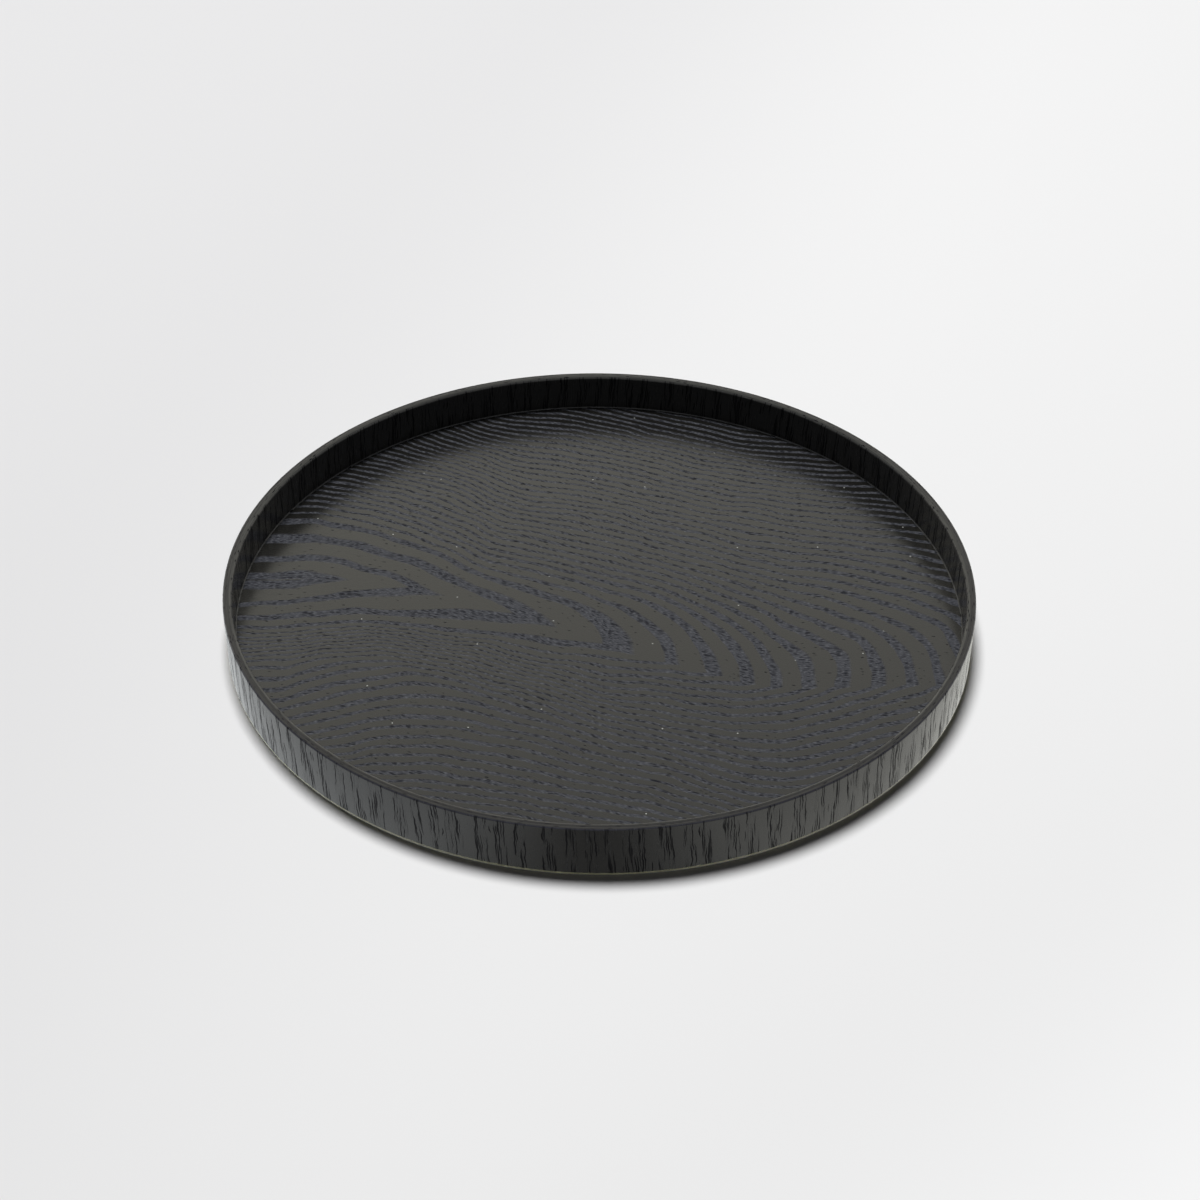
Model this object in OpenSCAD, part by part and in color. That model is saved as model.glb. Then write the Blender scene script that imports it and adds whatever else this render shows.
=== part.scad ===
// Round serving tray: a plywood base panel glued into the rebated foot of a laminated bentwood hoop.
// The hoop is five strips bent round one another. The base is three plies between two veneers.
// The origin is the centre of the hoop's foot, on the table, with +Z up.

/* [Tray] */
// Outside diameter of the hoop
tray_d = 380; // [280:5:480]
// Height of the hoop, from the table to the lip
tray_h = 28; // [20:0.5:50]

/* [Hoop] */
// Thickness of the veneer on each face of the hoop
rim_veneer_t = 0.6; // [0.4:0.05:1]
// Thickness of each of the hoop's three plies
rim_ply_t = 1.15; // [0.8:0.05:2]
// Radius of the lip's outer arris
lip_outer_r = 0.9; // [0.2:0.1:1.5]
// Radius of the lip's inner arris, which is the broader of the two
lip_inner_r = 1.8; // [0.2:0.1:2]
// Radius of the arris round the outside of the foot
foot_r = 0.8; // [0.2:0.1:1.5]

/* [Base panel] */
// Height of the panel's underside above the table
base_recess = 1.9; // [0.5:0.1:4]
// Thickness of the veneer on each face of the panel
base_veneer_t = 0.6; // [0.4:0.05:1]
// Thickness of each of the panel's three plies
base_ply_t = 1.4; // [0.8:0.05:2.5]

/* [End joints of the strips] */
// Width of the glue line where a strip's two ends meet
joint_gap = 0.1; // [0.05:0.05:0.3]
// Length of a ply's scarf joint, as a multiple of the ply's thickness
scarf_ratio = 8; // [4:1:12]
// Bearing of the outer veneer's butt joint, in degrees from +X towards +Y
outer_veneer_joint = 118; // [0:1:359]
// Bearing of the outer ply's scarf joint
outer_ply_joint = 205; // [0:1:359]
// Bearing of the core ply's scarf joint
core_ply_joint = 325; // [0:1:359]
// Bearing of the inner ply's scarf joint
inner_ply_joint = 85; // [0:1:359]
// Bearing of the inner veneer's butt joint
inner_veneer_joint = 63; // [0:1:359]

/* [Hidden] */

$fn = 240;
cut_over = 1; // how far a cut runs past the face that it leaves

// Radii of the faces of the hoop's strips, from the outside in.
outer_face_r = tray_d / 2;
outer_ply_r = outer_face_r - rim_veneer_t;
core_ply_r = outer_ply_r - rim_ply_t;
inner_ply_r = core_ply_r - rim_ply_t;
inner_veneer_r = inner_ply_r - rim_ply_t;
inner_face_r = inner_veneer_r - rim_veneer_t;

// The rebate takes off the two inner strips below the floor, so the panel reaches the core ply.
panel_r = inner_ply_r;

// Heights of the faces of the panel's layers, from the underside up.
lower_ply_z = base_recess + base_veneer_t;
core_ply_z = lower_ply_z + base_ply_t;
upper_ply_z = core_ply_z + base_ply_t;
face_veneer_z = upper_ply_z + base_ply_t;
floor_z = face_veneer_z + base_veneer_t;

stained_face = [0.13, 0.13, 0.13];
stained_edge = [0.20, 0.19, 0.18];
stained_back = [0.16, 0.15, 0.15];

// What a rounded arris takes off a corner: all that lies past a quarter circle centred on the origin.
module arris_waste(r) {
    difference() {
        square(r + cut_over);
        circle(r);
    }
}

// The hoop's whole cross-section with its three arrises, in X from the axis and Y up.
module hoop_section() {
    difference() {
        translate([inner_face_r, 0]) square([outer_face_r - inner_face_r, tray_h]);
        translate([outer_face_r - lip_outer_r, tray_h - lip_outer_r]) arris_waste(lip_outer_r);
        translate([inner_face_r + lip_inner_r, tray_h - lip_inner_r])
            rotate(90) arris_waste(lip_inner_r);
        translate([outer_face_r - foot_r, foot_r]) rotate(-90) arris_waste(foot_r);
    }
}

// One closed band of the hoop, from radius r_in to r_out and from height z_low up to the lip.
module band(r_in, r_out, z_low) {
    rotate_extrude() intersection() {
        hoop_section();
        translate([r_in, z_low]) square([r_out - r_in, tray_h - z_low]);
    }
}

// The slot between a strip's two ends. lean is its angle to the radius: 0 is a butt joint.
module end_slot(r_in, r_out, bearing, lean) {
    slot_length = (r_out - r_in + cut_over) / cos(lean);
    rotate(bearing) translate([(r_in + r_out) / 2, 0, tray_h / 2]) rotate(lean)
        cube([slot_length, joint_gap, tray_h + 2 * cut_over], center = true);
}

// A veneer strip, whose ends meet square.
module veneer_strip(r_in, r_out, z_low, bearing) {
    difference() {
        band(r_in, r_out, z_low);
        end_slot(r_in, r_out, bearing, 0);
    }
}

// A ply strip, whose ends are tapered and overlap in a scarf joint.
module ply_strip(r_in, r_out, z_low, bearing) {
    difference() {
        band(r_in, r_out, z_low);
        end_slot(r_in, r_out, bearing, atan(scarf_ratio));
    }
}

// A round layer of the base panel.
module panel_layer(z, t) {
    translate([0, 0, z]) cylinder(h = t, r = panel_r);
}

module rim_outer_veneer() {
    color(stained_face) veneer_strip(outer_ply_r, outer_face_r, 0, outer_veneer_joint);
}

module rim_outer_ply() {
    color(stained_edge) ply_strip(core_ply_r, outer_ply_r, 0, outer_ply_joint);
}

module rim_core_ply() {
    color(stained_edge) ply_strip(inner_ply_r, core_ply_r, 0, core_ply_joint);
}

// The two inner strips stand on the panel, because the rebate has taken off their feet.
module rim_inner_ply() {
    color(stained_edge) ply_strip(inner_veneer_r, inner_ply_r, floor_z, inner_ply_joint);
}

module rim_inner_veneer() {
    color(stained_face) veneer_strip(inner_face_r, inner_veneer_r, floor_z, inner_veneer_joint);
}

module base_face_veneer() {
    color(stained_face) panel_layer(face_veneer_z, base_veneer_t);
}

module base_upper_ply() {
    color(stained_edge) panel_layer(upper_ply_z, base_ply_t);
}

module base_core_ply() {
    color(stained_edge) panel_layer(core_ply_z, base_ply_t);
}

module base_lower_ply() {
    color(stained_edge) panel_layer(lower_ply_z, base_ply_t);
}

module base_back_veneer() {
    color(stained_back) panel_layer(base_recess, base_veneer_t);
}

rim_outer_veneer();
rim_outer_ply();
rim_core_ply();
rim_inner_ply();
rim_inner_veneer();
base_face_veneer();
base_upper_ply();
base_core_ply();
base_lower_ply();
base_back_veneer();
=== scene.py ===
"""A round serving tray: a laminated bentwood hoop round a plywood base panel, in black-stained ash."""
import math

import bmesh
import bpy
from mathutils import Matrix, Vector


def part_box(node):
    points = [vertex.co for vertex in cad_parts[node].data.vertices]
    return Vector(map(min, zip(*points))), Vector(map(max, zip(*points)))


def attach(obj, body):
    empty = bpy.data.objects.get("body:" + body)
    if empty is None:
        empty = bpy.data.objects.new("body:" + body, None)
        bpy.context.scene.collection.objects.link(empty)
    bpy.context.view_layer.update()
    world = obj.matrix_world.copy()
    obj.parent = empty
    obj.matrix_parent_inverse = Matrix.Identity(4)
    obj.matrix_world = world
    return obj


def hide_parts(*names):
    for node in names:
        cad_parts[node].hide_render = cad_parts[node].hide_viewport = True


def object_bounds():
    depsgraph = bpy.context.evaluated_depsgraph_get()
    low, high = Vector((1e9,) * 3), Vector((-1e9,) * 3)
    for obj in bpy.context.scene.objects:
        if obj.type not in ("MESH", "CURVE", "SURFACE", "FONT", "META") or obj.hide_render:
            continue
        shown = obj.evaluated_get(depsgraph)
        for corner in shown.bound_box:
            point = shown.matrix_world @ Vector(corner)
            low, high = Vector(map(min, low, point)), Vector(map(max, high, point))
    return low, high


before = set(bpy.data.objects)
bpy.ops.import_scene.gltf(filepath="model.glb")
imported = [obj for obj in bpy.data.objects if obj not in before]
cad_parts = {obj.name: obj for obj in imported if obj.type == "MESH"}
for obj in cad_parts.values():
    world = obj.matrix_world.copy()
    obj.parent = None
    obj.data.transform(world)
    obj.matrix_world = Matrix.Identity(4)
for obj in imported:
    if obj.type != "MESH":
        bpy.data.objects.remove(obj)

cad_low, cad_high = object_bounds()

# The base panel's three inner plies. They are rotary-cut birch, glued crosswise under the face and
# back sheets. Only their edge could be seen, and it's stained black and shut in by the hoop.
mm = 0.001


class Flow:
    """A value that varies over a surface. Arithmetic on it adds the Math nodes for that arithmetic."""

    def __init__(self, finish, socket):
        self.finish = finish
        self.socket = socket

    def __add__(self, other):
        return self.finish.math("ADD", self, other)

    def __radd__(self, other):
        return self.finish.math("ADD", other, self)

    def __sub__(self, other):
        return self.finish.math("SUBTRACT", self, other)

    def __rsub__(self, other):
        return self.finish.math("SUBTRACT", other, self)

    def __mul__(self, other):
        return self.finish.math("MULTIPLY", self, other)

    def __rmul__(self, other):
        return self.finish.math("MULTIPLY", other, self)

    def __truediv__(self, other):
        return self.finish.math("DIVIDE", self, other)

    def __rtruediv__(self, other):
        return self.finish.math("DIVIDE", other, self)

    def __pow__(self, other):
        return self.finish.math("POWER", self, other)


class Finish:
    """A material, or the studio's world, being built up from nodes."""

    def __init__(self, owner):
        owner.use_nodes = True
        self.owner = owner
        self.nodes = owner.node_tree.nodes
        self.links = owner.node_tree.links
        self.nodes.clear()

    def node(self, kind, settings=None, inputs=()):
        """Adds a node, and gives its outputs in order."""
        made = self.nodes.new(kind)
        for key, value in (settings or {}).items():
            setattr(made, key, value)
        pairs = inputs.items() if isinstance(inputs, dict) else enumerate(inputs)
        for key, value in pairs:
            if isinstance(value, Flow):
                self.links.new(value.socket, made.inputs[key])
            else:
                made.inputs[key].default_value = value
        return [Flow(self, socket) for socket in made.outputs]

    def math(self, operation, *values):
        return self.node("ShaderNodeMath", {"operation": operation}, values)[0]

    def step(self, value, low, high, at_low=0.0, at_high=1.0):
        """Runs smoothly from at_low, where value is at or below low, to at_high."""
        return self.node(
            "ShaderNodeMapRange",
            {"interpolation_type": "SMOOTHSTEP"},
            {0: value, 1: low, 2: high, 3: at_low, 4: at_high},
        )[0]

    def blend(self, factor, first, second):
        """A colour from first, where factor is 0, to second."""
        return self.node("ShaderNodeMix", {"data_type": "RGBA"}, {0: factor, 6: first, 7: second})[2]

    def place(self, x, y, z=0.0):
        return self.node("ShaderNodeCombineXYZ", None, [x, y, z])[0]

    def millimetres(self):
        """The place on the tray, in millimetres, as a vector and its x, y and z."""
        at = self.node("ShaderNodeTexCoord")[3]
        at = self.node("ShaderNodeVectorMath", {"operation": "SCALE"}, {0: at, "Scale": 1000.0})[0]
        return [at, *self.node("ShaderNodeSeparateXYZ", None, [at])]

    def noise(self, at, size, detail=2.0):
        """Cloudy noise about 0.5, its blobs about size across: one value, then three other ones."""
        made = self.node("ShaderNodeTexNoise", None, {"Vector": at, "Scale": 1.0 / size, "Detail": detail})
        return [made[0], *self.node("ShaderNodeSeparateColor", None, [made[1]])]

    def cells(self, at, size):
        """Scattered points about size apart: the distance to the nearest one, and its own colour."""
        inputs = {"Vector": at, "Scale": 1.0 / size}
        return self.node("ShaderNodeTexVoronoi", {"voronoi_dimensions": "2D"}, inputs)

    def dashes(self, along, across, length, width, share):
        """Open pores as short dark dashes of mixed lengths. A share of the places have one."""
        spread = self.place(along / length, across / width)
        cell = self.cells(spread, 1.0)
        chance = self.node("ShaderNodeSeparateColor", None, [cell[1]])
        size = 0.22 + 0.22 * chance[1]
        inside = 1.0 - self.step(cell[0] / size, 0.75, 1.1)
        return inside * self.math("LESS_THAN", chance[0], share)

    def lacquered_wood(self, open_grain, pores, film_colour, grain_colour, pore_colour, film_rough, relief):
        """Satin lacquer over stained wood. The film is smooth on the dense summer wood. It sinks in over
        the spring wood, which stays rough, and leaves the pores open, as dark pits with no shine."""
        height = 1.0 - 0.35 * open_grain - 0.65 * pores
        normal = self.node(
            "ShaderNodeBump", None, {"Strength": relief, "Distance": 0.1 * mm, "Height": height}
        )[0]
        film = self.node(
            "ShaderNodeBsdfPrincipled",
            None,
            {"Base Color": film_colour, "Roughness": film_rough, "IOR": 1.5, "Normal": normal},
        )[0]
        grain = self.node(
            "ShaderNodeBsdfPrincipled",
            None,
            {"Base Color": grain_colour, "Roughness": 0.62, "IOR": 1.28, "Normal": normal},
        )[0]
        pit = self.node(
            "ShaderNodeBsdfPrincipled", None, {"Base Color": pore_colour, "Roughness": 0.9, "IOR": 1.1}
        )[0]
        surface = self.node("ShaderNodeMixShader", None, [open_grain, film, grain])[0]
        surface = self.node("ShaderNodeMixShader", None, [pores, surface, pit])[0]
        self.node("ShaderNodeOutputMaterial", None, [surface])


def dress(node, finish):
    """Gives a carried-over solid its finish."""
    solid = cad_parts[node]
    solid.data.materials.clear()
    solid.data.materials.append(finish.owner)


film_black = (0.0085, 0.0080, 0.0070, 1.0)
grain_grey = (0.043, 0.044, 0.049, 1.0)
pore_black = (0.006, 0.006, 0.008, 1.0)
for node, turned in (("base_upper_ply", True), ("base_core_ply", False), ("base_lower_ply", True)):
    birch = Finish(bpy.data.materials.new(node + "_birch"))
    at, x, y, z = birch.millimetres()
    along, across = (y, x) if turned else (x, y)
    fibre = birch.noise(birch.place(along / 20.0, across / 0.6), 1.0)[0]
    birch.lacquered_wood(
        open_grain=birch.step(fibre, 0.4, 0.7, 0.3, 0.8),
        pores=birch.dashes(along, across, 2.0, 0.4, 0.2),
        film_colour=film_black,
        grain_colour=grain_grey,
        pore_colour=pore_black,
        film_rough=0.55,
        relief=0.5,
    )
    dress(node, birch)

# The face and back of the base panel. Both are sheets of crown-cut ash 0.6 mm thick, pressed onto
# the plies, stained black and lacquered thinly, so that the rings and the pores still show. A few
# specks of dust lie in the lacquer. One year's growth is so many millimetres wide on the sheet: along
# the arches, over them, and under them at the left and the right.
arch_gap = 16.0
upper_gap = 4.9
lower_gap_left = 5.2
lower_gap_right = 7.0


def crown_cut(finish, lean, lift, start):
    """The figure of a crown-cut sheet: arches that open to the left, and fine lines beyond them.

    Gives the spring wood, the pores, fine specks and the fibre. lean turns the grain, and lift and
    start move it. The arches' points lie on a line that falls from left to right. Over it the arches
    are blunt and run on as lines. Under it they crowd together and turn into lines more steeply.
    """
    at, x, y, z = finish.millimetres()
    far = finish.noise(at, 70.0)
    near = finish.noise(at, 22.0)
    x = x + 22.0 * (far[1] - 0.5) + 6.0 * (near[1] - 0.5)
    y = y + lift + 11.0 * (far[2] - 0.5) + 4.0 * (near[2] - 0.5)
    turn = math.radians(lean)
    along = x * math.cos(turn) - y * math.sin(turn)
    points_line = finish.step(along, -140.0, 110.0, 17.0, -66.0)
    across = x * math.sin(turn) + y * math.cos(turn) - points_line
    crown = finish.math("MAXIMUM", (along + start) / arch_gap, 0.02)
    squareness = finish.step(along, -60.0, 60.0, 1.15, 2.8)
    above = finish.math("MAXIMUM", across, 0.001) / upper_gap
    depth = finish.math("MAXIMUM", 0.0 - across, 0.0)
    level = finish.step(depth, 0.0, 150.0)
    below = finish.math("MAXIMUM", depth - level * (points_line + 22.0), 0.0)
    below = below / finish.step(along, 20.0, 100.0, lower_gap_left, lower_gap_right)
    crowded = finish.step(depth, 14.0, 70.0) * finish.step(along, -110.0, 50.0, 10.0, 0.0)
    upper = (crown ** squareness + above ** squareness) ** (1.0 / squareness)
    lower = crown * (1.0 - 0.35 * level) + below + crowded
    is_above = finish.math("GREATER_THAN", across, 0.0)
    rings_out = lower + is_above * (upper - lower)
    growth = 0.3 * rings_out + 0.7 * finish.math("SMOOTH_MAX", rings_out - 11.5, 0.0, 3.0)
    phase = finish.math("FRACT", growth)
    count = finish.math("FLOOR", growth)
    year = finish.node("ShaderNodeTexWhiteNoise", {"noise_dimensions": "1D"}, {"W": count})[0]
    edge = 0.34 + 0.16 * year + 0.3 * (near[0] - 0.5)
    spring = finish.step(phase, 0.0, 0.06) * (1.0 - finish.step(phase - edge, -0.06, 0.06))
    speck = finish.noise(finish.place(along / 1.8, across / 0.6), 1.0)[0]
    pores = 0.8 * finish.dashes(along, across, 4.2, 1.0, 0.62) * spring
    pores = finish.math("MAXIMUM", pores, finish.dashes(along + 40.0, across, 2.4, 0.6, 0.02))
    fibre = finish.noise(finish.place(along / 12.0, across / 0.4), 1.0)[0]
    return spring, pores, speck, fibre


dust_grey = (0.30, 0.30, 0.28, 1.0)
spring_dark = (0.034, 0.035, 0.041, 1.0)
spring_light = (0.090, 0.091, 0.099, 1.0)
for node, lean, lift, start in (
    ("base_face_veneer", 0.0, 0.0, 154.0),
    ("base_back_veneer", 6.0, 30.0, 60.0),
):
    ash = Finish(bpy.data.materials.new(node + "_ash"))
    spring, pores, speck, fibre = crown_cut(ash, lean, lift, start)
    at = ash.millimetres()[0]
    mote = ash.cells(at, 45.0)[0]
    dust = 1.0 - ash.step(mote, 0.006, 0.011)
    ash.lacquered_wood(
        open_grain=spring * ash.step(speck, 0.3, 0.5, 0.75, 1.0),
        pores=pores,
        film_colour=ash.blend(dust, film_black, dust_grey),
        grain_colour=ash.blend(ash.step(speck, 0.45, 0.7), spring_dark, spring_light),
        pore_colour=pore_black,
        film_rough=ash.step(fibre, 0.25, 0.75, 0.21, 0.29),
        relief=0.5,
    )
    dress(node, ash)

# The hoop's five strips. Three plies are bent with the grain along them, and scarfed, so that their
# ends lean. A thin ash veneer with upright grain faces each side, butted square. The lip and the
# foot are rounded across the whole laminate once the glue has set.
lip_outer_round = 0.9 * mm
lip_inner_round = 1.8 * mm
foot_round = 0.8 * mm
lip_depth = 0.9 * mm
glue_arris = 0.05 * mm
crease_angle = math.radians(30)
slot_width = 0.1 * mm
scarf_lean = 8.0
round_steps = 10
bend_steps = 360
strip_nodes = ["rim_outer_veneer", "rim_outer_ply", "rim_core_ply", "rim_inner_ply", "rim_inner_veneer"]
strip_radii = [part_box(node)[1].x for node in strip_nodes]
veneer_thickness = strip_radii[0] - strip_radii[1]
strip_radii.append(strip_radii[-1] - veneer_thickness)
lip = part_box("rim_core_ply")[1].z


def bent_strip(name, node, layer, bearing, lean, chip=0.0):
    """Cuts a strip's section from the laminate's rounded one, and bends it round to its own end. A chip
    lowers the lip at the end joint."""
    r_out, r_in = strip_radii[layer], strip_radii[layer + 1]
    piece = bmesh.new()
    well, hoop = strip_radii[-1], strip_radii[0]
    outline = ((well, 0.0), (hoop, 0.0), (hoop, lip), (well, lip))
    corners = [piece.verts.new((r, 0.0, z)) for r, z in outline]
    piece.faces.new(corners)
    for corner, radius in zip(corners[1:], (foot_round, lip_outer_round, lip_inner_round)):
        bmesh.ops.bevel(
            piece, geom=[corner], affect="VERTICES", offset_type="OFFSET", offset=radius,
            segments=round_steps, profile=0.5, material=-1,
        )
    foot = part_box(node)[0].z
    cuts = []
    if layer < 4:
        cuts.append(((r_in, 0.0, 0.0), (-1.0, 0.0, 0.0)))
    if layer > 0:
        cuts.append(((r_out, 0.0, 0.0), (1.0, 0.0, 0.0)))
    if foot > foot_round:
        cuts.append(((0.0, 0.0, foot), (0.0, 0.0, -1.0)))
    for place, facing in cuts:
        bmesh.ops.bisect_plane(
            piece, geom=[*piece.verts, *piece.edges, *piece.faces], plane_co=place, plane_no=facing,
            clear_outer=True,
        )
    glued = [r for r in (r_in if layer < 4 else None, r_out if layer > 0 else None) if r]
    arrises = [
        vert for vert in piece.verts
        if vert.co.z > lip - lip_depth and any(abs(vert.co.x - r) < 0.001 * mm for r in glued)
    ]
    bmesh.ops.bevel(
        piece, geom=arrises, affect="VERTICES", offset_type="OFFSET", offset=glue_arris,
        segments=2, profile=0.5, material=-1,
    )
    middle = (r_in + r_out) / 2
    half_slot = slot_width / 2 / r_out
    for vert in piece.verts:
        shift = lean * (vert.co.x - middle) / vert.co.x
        vert.co.rotate(Matrix.Rotation(math.radians(bearing) + half_slot + shift, 3, "Z"))
    bmesh.ops.spin(
        piece, geom=[*piece.verts, *piece.edges, *piece.faces], cent=(0, 0, 0), axis=(0, 0, 1),
        angle=2 * math.pi - 2 * half_slot, steps=bend_steps, use_duplicate=False,
    )
    joint = Vector((math.cos(math.radians(bearing)), math.sin(math.radians(bearing))))
    for vert in piece.verts:
        at_the_joint = (vert.co.xy.normalized() - joint).length < 2 * half_slot
        if at_the_joint and vert.co.z > lip - lip_depth:
            vert.co.z -= chip
    bmesh.ops.recalc_face_normals(piece, faces=piece.faces)
    for face in piece.faces:
        face.smooth = True
    for edge in piece.edges:
        edge.smooth = edge.calc_face_angle(0.0) < crease_angle
    mesh = bpy.data.meshes.new(name)
    piece.to_mesh(mesh)
    piece.free()
    strip = bpy.data.objects.new(name, mesh)
    bpy.context.scene.collection.objects.link(strip)
    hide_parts(node)
    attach(strip, "root")
    return strip


hoop_radius_mm = 190.0


def round_the_hoop(finish, bearing):
    """The place, length along a strip from its end joint, distance from the middle and height, in mm."""
    at, x, y, z = finish.millimetres()
    turn = (0, 0, math.radians(180 - bearing))
    turned = finish.node("ShaderNodeMapping", None, {"Vector": at, "Rotation": turn})
    side = finish.node("ShaderNodeSeparateXYZ", None, turned[:1])
    out = finish.node("ShaderNodeVectorMath", {"operation": "LENGTH"}, [finish.place(x, y)])[1]
    length = hoop_radius_mm * finish.math("ARCTAN2", side[1], side[0])
    return at, length, out, z


# The three plies. Only their edges show, as fine streaks along the lip and the foot. The lip's broad
# inner round runs over the inner one, which is painted a little lighter there as a painted highlight.
edge_streak = (0.016, 0.015, 0.015, 1.0)
edge_grey = (0.024, 0.023, 0.023, 1.0)
# The painted highlight's colour on the lip's inner round.
edge_highlight = (0.044, 0.043, 0.039, 1.0)
plies = (("outer_bent_ply", 1, 205), ("core_bent_ply", 2, 325), ("inner_bent_ply", 3, 85))
for name, layer, bearing in plies:
    ply = bent_strip(name, strip_nodes[layer], layer, bearing, scarf_lean)
    edge_grain = Finish(bpy.data.materials.new(name + "_ash"))
    at, length, out, z = round_the_hoop(edge_grain, bearing)
    streak = edge_grain.noise(edge_grain.place(length / 25.0, (out - z) / 0.25), 1.0)
    # Painted highlight: the inner ply's edge turns lighter across the lip's inner round.
    inner_round_highlight = edge_grain.step(out, 186.5, 187.3, 1.0, 0.0)
    film = edge_grain.blend(streak[1], film_black, edge_streak)
    edge_grain.lacquered_wood(
        open_grain=edge_grain.step(streak[0], 0.4, 0.6, 0.3, 0.85),
        pores=edge_grain.dashes(length, out - z, 4.0, 0.4, 0.12),
        film_colour=edge_grain.blend(inner_round_highlight, film, edge_highlight),
        grain_colour=edge_grain.blend(inner_round_highlight, edge_grey, edge_highlight),
        pore_colour=pore_black,
        film_rough=edge_grain.step(streak[2], 0.3, 0.7, 0.28, 0.40),
        relief=0.4,
    )
    ply.data.materials.append(edge_grain.owner)

# The two ash veneers. Their grain is upright, so the open pores are long strokes, in groups where the
# spring wood runs. The lip is chipped at each end joint, and a pale painted highlight runs along the foot.
joint_chip = 0.35 * mm
# Painted highlight along the foot's round: a pale yellowish band.
foot_highlight_colour = (0.70, 0.69, 0.42, 1.0)
# Painted highlights along the lip's round: the bluish outer one here, the warm inner one below.
outer_lip_highlight = (0.018, 0.018, 0.026, 1.0)
# The inner veneer's film is painted lighter than the outer's, as painted fill light on the shaded inner
# wall.
inner_film_with_painted_fill = (0.045, 0.043, 0.040, 1.0)
inner_lip_highlight = (0.030, 0.029, 0.027, 1.0)
veneers = (
    ("outer_veneer", 0, 118, film_black, outer_lip_highlight, 27.40, 27.65, 0.0),
    ("inner_veneer", 4, 63, inner_film_with_painted_fill, inner_lip_highlight, 27.10, 27.40, 0.10),
)
for name, layer, bearing, film, lip_highlight_colour, highlight_low, highlight_high, lip_haze in veneers:
    veneer = bent_strip(name, strip_nodes[layer], layer, bearing, 0.0, joint_chip)
    upright = Finish(bpy.data.materials.new(name + "_ash"))
    at, length, out, z = round_the_hoop(upright, bearing)
    waver = upright.noise(upright.place(length / 14.0, z / 26.0), 1.0)
    ripple = upright.noise(upright.place(length / 3.0, z / 5.0), 1.0)[0]
    across = length + 0.05 * z + 3.0 * (waver[1] - 0.5) + 1.6 * (ripple - 0.5)
    swell = upright.noise(upright.place(across / 34.0, z / 200.0), 1.0)[0]
    phase = upright.math("FRACT", across / 10.5 + 2.4 * swell)
    spring = upright.step(phase, 0.0, 0.05) * (1.0 - upright.step(phase, 0.44, 0.72))
    mottle = upright.noise(upright.place(across / 0.7, z / 9.0), 1.0)[0]
    strokes = upright.dashes(z, across, 26.0, 0.85, 0.92) * upright.step(spring, 0.2, 0.5)
    few = upright.dashes(z + 5.0, across + 300.0, 9.0, 0.8, 0.04)
    # Painted highlight: a pale band along the foot.
    foot_highlight = upright.step(z, 0.3, 0.5) * (1.0 - upright.step(z, 1.3, 1.6))
    # Painted highlight: a band across the lip's round.
    lip_highlight = upright.step(z, highlight_low, highlight_high)
    haze = upright.step(z, 27.0, 27.4, 0.0, lip_haze)
    wall_colour = upright.blend(foot_highlight, film, foot_highlight_colour)
    upright.lacquered_wood(
        open_grain=spring * upright.step(mottle, 0.4, 0.7, 0.0, 0.3),
        pores=0.85 * upright.math("MAXIMUM", strokes, few) * (1.0 - foot_highlight),
        film_colour=upright.blend(lip_highlight, wall_colour, lip_highlight_colour),
        grain_colour=upright.blend(foot_highlight, grain_grey, foot_highlight_colour),
        pore_colour=pore_black,
        film_rough=upright.step(mottle, 0.3, 0.7, 0.20, 0.28) + haze,
        relief=0.6,
    )
    veneer.data.materials.append(upright.owner)

# The lacquer in the corner. The last coat pooled where the hoop's inner face meets the base, and
# dried to a hollow fillet half a millimetre across.
fillet_reach = 0.5 * mm
serving_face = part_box("base_face_veneer")[1].z
corner_radius = strip_radii[-1]
pool = bmesh.new()
edge = [
    pool.verts.new((corner_radius - fillet_reach, 0.0, serving_face)),
    pool.verts.new((corner_radius, 0.0, serving_face)),
    pool.verts.new((corner_radius, 0.0, serving_face + fillet_reach)),
]
section = pool.faces.new(edge)
slope = next(e for e in section.edges if edge[1] not in e.verts)
bmesh.ops.subdivide_edges(pool, edges=[slope], cuts=3)
for vert in pool.verts:
    inward = min(corner_radius - vert.co.x, vert.co.z - serving_face)
    if inward > 0.01 * mm:
        vert.co += Vector((0.35 * inward, 0.0, -0.35 * inward))
bmesh.ops.spin(
    pool, geom=[*pool.verts, *pool.edges, *pool.faces], cent=(0, 0, 0), axis=(0, 0, 1),
    angle=2 * math.pi, steps=bend_steps, use_merge=True, use_duplicate=False,
)
bmesh.ops.recalc_face_normals(pool, faces=pool.faces)
for face in pool.faces:
    face.smooth = True
for crease in pool.edges:
    crease.smooth = crease.calc_face_angle(0.0) < crease_angle
pool_mesh = bpy.data.meshes.new("corner_lacquer")
pool.to_mesh(pool_mesh)
pool.free()
fillet = bpy.data.objects.new("corner_lacquer", pool_mesh)
bpy.context.scene.collection.objects.link(fillet)
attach(fillet, "root")
drip = Finish(bpy.data.materials.new("corner_lacquer"))
at, length, out, z = round_the_hoop(drip, 63)
swelling = drip.noise(at, 6.0)
drip.lacquered_wood(
    open_grain=drip.step(swelling[1], 0.55, 0.75, 0.0, 0.6),
    pores=drip.dashes(length, z, 4.0, 0.5, 0.05),
    film_colour=drip.blend(swelling[2], film_black, (0.03, 0.03, 0.032, 1.0)),
    grain_colour=grain_grey,
    pore_colour=pore_black,
    film_rough=drip.step(swelling[0], 0.3, 0.7, 0.30, 0.45),
    relief=0.3,
)
pool_mesh.materials.append(drip.owner)
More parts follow.
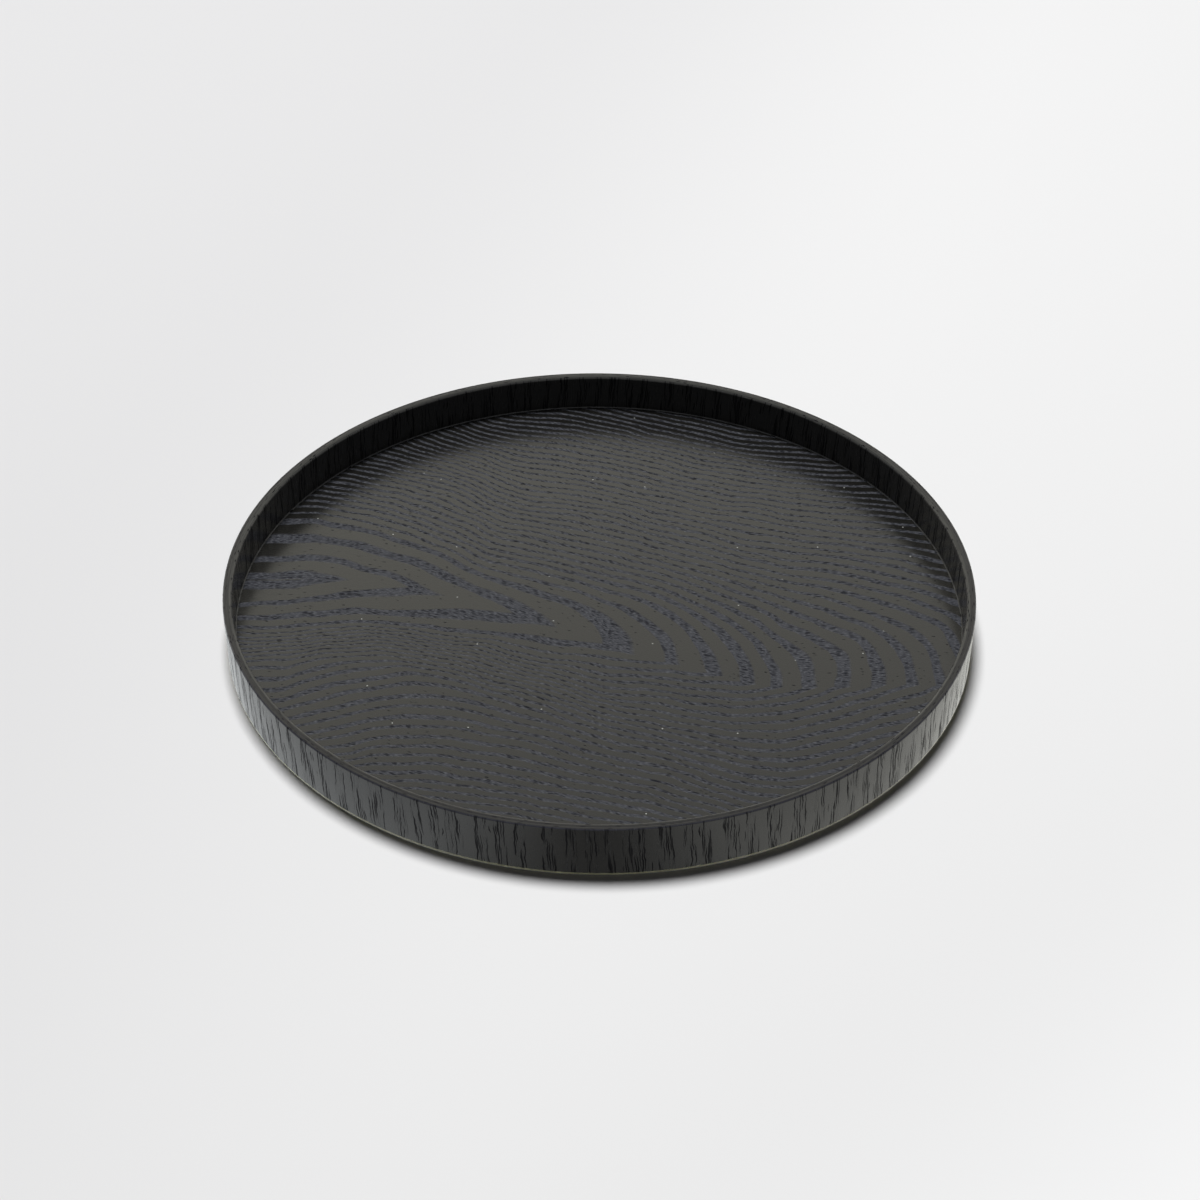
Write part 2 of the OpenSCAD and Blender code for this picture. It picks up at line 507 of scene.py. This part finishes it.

# Where it stands: a pale seamless sweep, painted a little brighter to the right and the front, a painted
# light gradient. In reflections the sweep glows instead, a painted reflection, bright round the tray and
# dark straight in front.
floor_half = 6.0
floor_mesh = bpy.data.meshes.new("floor")
sheet = bmesh.new()
bmesh.ops.create_grid(sheet, x_segments=1, y_segments=1, size=floor_half)
sheet.to_mesh(floor_mesh)
sheet.free()
floor = bpy.data.objects.new("floor", floor_mesh)
bpy.context.scene.collection.objects.link(floor)
sweep = Finish(bpy.data.materials.new("pale_sweep"))
at, x, y, z = sweep.millimetres()
# Painted light: the paper's colour grows brighter to the right and the front.
paper_left = (0.675, 0.66, 0.655, 1.0)
paper_right = (0.765, 0.75, 0.74, 1.0)
paper_corner = (0.90, 0.885, 0.875, 1.0)
paper_colour = sweep.blend(sweep.step(x - 0.35 * y, -350.0, 100.0), paper_left, paper_right)
paper_colour = sweep.blend(sweep.step(x - y, 380.0, 760.0), paper_colour, paper_corner)
paper = sweep.node("ShaderNodeBsdfDiffuse", None, {"Color": paper_colour})[0]
# Painted reflection: the sweep glows with these colours, only where the lacquer mirrors it.
cool_mirrored_glow = (1.14, 1.18, 1.19, 1.0)
warm_mirrored_glow = (1.16, 1.16, 1.09, 1.0)
dark_mirrored_glow = (0.33, 0.33, 0.32, 1.0)
off_the_front = sweep.step(sweep.math("ABSOLUTE", x), 0.0, 95.0) + sweep.step(y, -150.0, 0.0)
mirrored_glow = sweep.blend(sweep.step(x, -150.0, 150.0), cool_mirrored_glow, warm_mirrored_glow)
mirrored_glow = sweep.blend(sweep.math("MINIMUM", off_the_front, 1.0), dark_mirrored_glow, mirrored_glow)
mirrored = sweep.node("ShaderNodeEmission", None, {"Color": mirrored_glow, "Strength": 1.0})[0]
in_a_reflection = sweep.node("ShaderNodeLightPath")[3]
both = sweep.node("ShaderNodeMixShader", None, [in_a_reflection, paper, mirrored])[0]
sweep.node("ShaderNodeOutputMaterial", None, [both])
floor_mesh.materials.append(sweep.owner)

# The studio. A large soft lamp hangs almost overhead, a little behind on the left, and isn't mirrored.
# The lacquer mirrors a warm lit backdrop behind the tray, a dimmer ceiling and a dim room.
room_fill = 0.025
room_seen = 0.835
room_mirrored = 0.33
backdrop_mirrored = 0.95
ceiling_mirrored = 0.4
studio = bpy.data.worlds.new("studio")
bpy.context.scene.world = studio
room = Finish(studio)
toward = room.node("ShaderNodeTexCoord")[0]
side = room.node("ShaderNodeSeparateXYZ", None, [toward])
backdrop = room.step(side[1], 0.25, 0.60) * room.step(side[2], 0.53, 0.90, 1.0, 0.0)
backdrop = backdrop * room.step(side[0], -0.3, 0.3, 1.12, 0.86)
ceiling = room.step(side[2], 0.85, 0.95)
mirrored = room_mirrored + backdrop_mirrored * backdrop + ceiling_mirrored * ceiling
path = room.node("ShaderNodeLightPath")
light = room_fill + room_seen * path[0] + path[3] * mirrored
tint = room.blend(backdrop, (0.96, 0.98, 1.0, 1.0), (1.0, 0.98, 0.87, 1.0))
glow = room.node("ShaderNodeBackground", None, {"Color": tint, "Strength": light})[0]
room.node("ShaderNodeOutputWorld", None, [glow])

lamp_data = bpy.data.lights.new("softbox", "AREA")
lamp_data.shape = "DISK"
lamp_data.size = 1.6
lamp_data.energy = 320.0
lamp_data.color = (0.965, 0.985, 1.0)
lamp = bpy.data.objects.new("softbox", lamp_data)
bpy.context.scene.collection.objects.link(lamp)
lamp_from = Vector((-0.34, 1.15, 5.0))
lamp.matrix_world = Matrix.Translation(lamp_from) @ lamp_from.to_track_quat("Z", "Y").to_matrix().to_4x4()
lamp.visible_camera = False
lamp.visible_glossy = False

# The camera. A long lens looks down on the tray from six times its radius away, and is aimed a
# little behind the middle. The tripod head leans by half a degree.
tray_radius = max(cad_high.x - cad_low.x, cad_high.y - cad_low.y) / 2
camera_distance = 6.0 * tray_radius
camera_elevation = math.radians(37.7)
camera_roll = math.radians(0.58)
camera_aim = Vector((0.0003, 0.0117, 0.0))
camera_data = bpy.data.cameras.new("camera")
camera_data.lens = 65.7
camera_data.clip_start = 0.05
camera = bpy.data.objects.new("camera", camera_data)
bpy.context.scene.collection.objects.link(camera)
away = Vector((0.0, -math.cos(camera_elevation), math.sin(camera_elevation)))
camera.matrix_world = (
    Matrix.Translation(camera_aim + away * camera_distance)
    @ away.to_track_quat("Z", "Y").to_matrix().to_4x4()
    @ Matrix.Rotation(camera_roll, 4, "Z")
)
bpy.context.scene.camera = camera
bpy.context.scene.view_settings.view_transform = "Standard"
